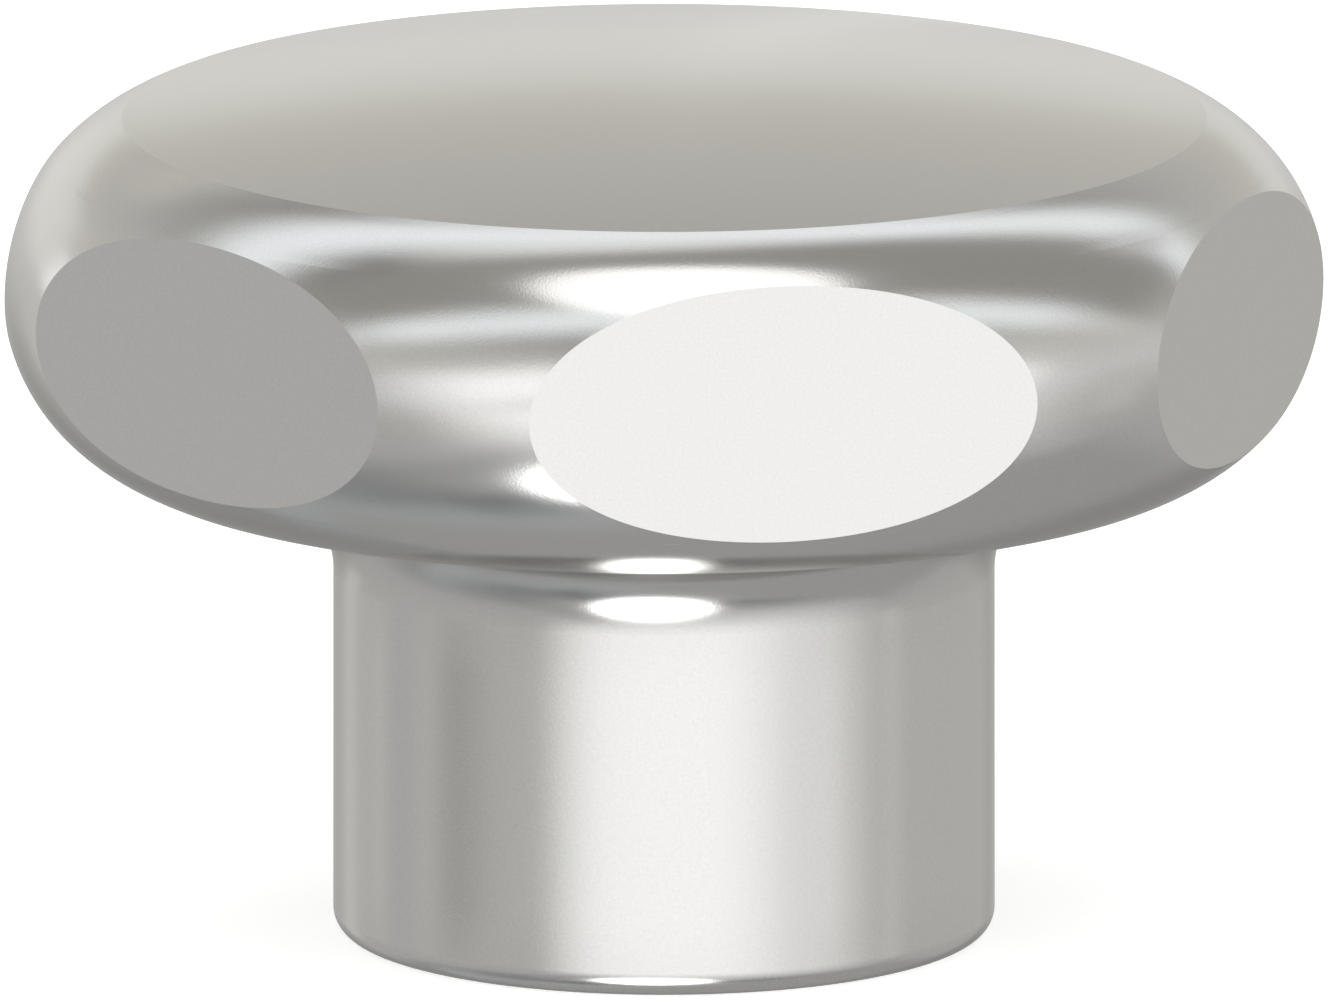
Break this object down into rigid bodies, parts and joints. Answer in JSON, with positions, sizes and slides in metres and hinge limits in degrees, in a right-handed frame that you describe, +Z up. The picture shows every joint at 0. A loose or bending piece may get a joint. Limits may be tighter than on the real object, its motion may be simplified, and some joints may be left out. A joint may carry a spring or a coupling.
{
  "type": "threaded knob",
  "caption": "Turned steel knob with a domed round head, flats round the rim and a plain hub with a blind tapped hole.",
  "frame": {"origin": "middle of the hub's flat underside", "axes": "+Z up the axis from the hub's underside to the domed top, -Y square to one flat of the rim"},
  "size_m": [0.05, 0.046, 0.033],
  "materials": {
    "satin_steel": "fine blasted satin, unpainted"
  },
  "bodies": {
    "root": {"knob": "satin_steel"}
  },
  "joints": []
}
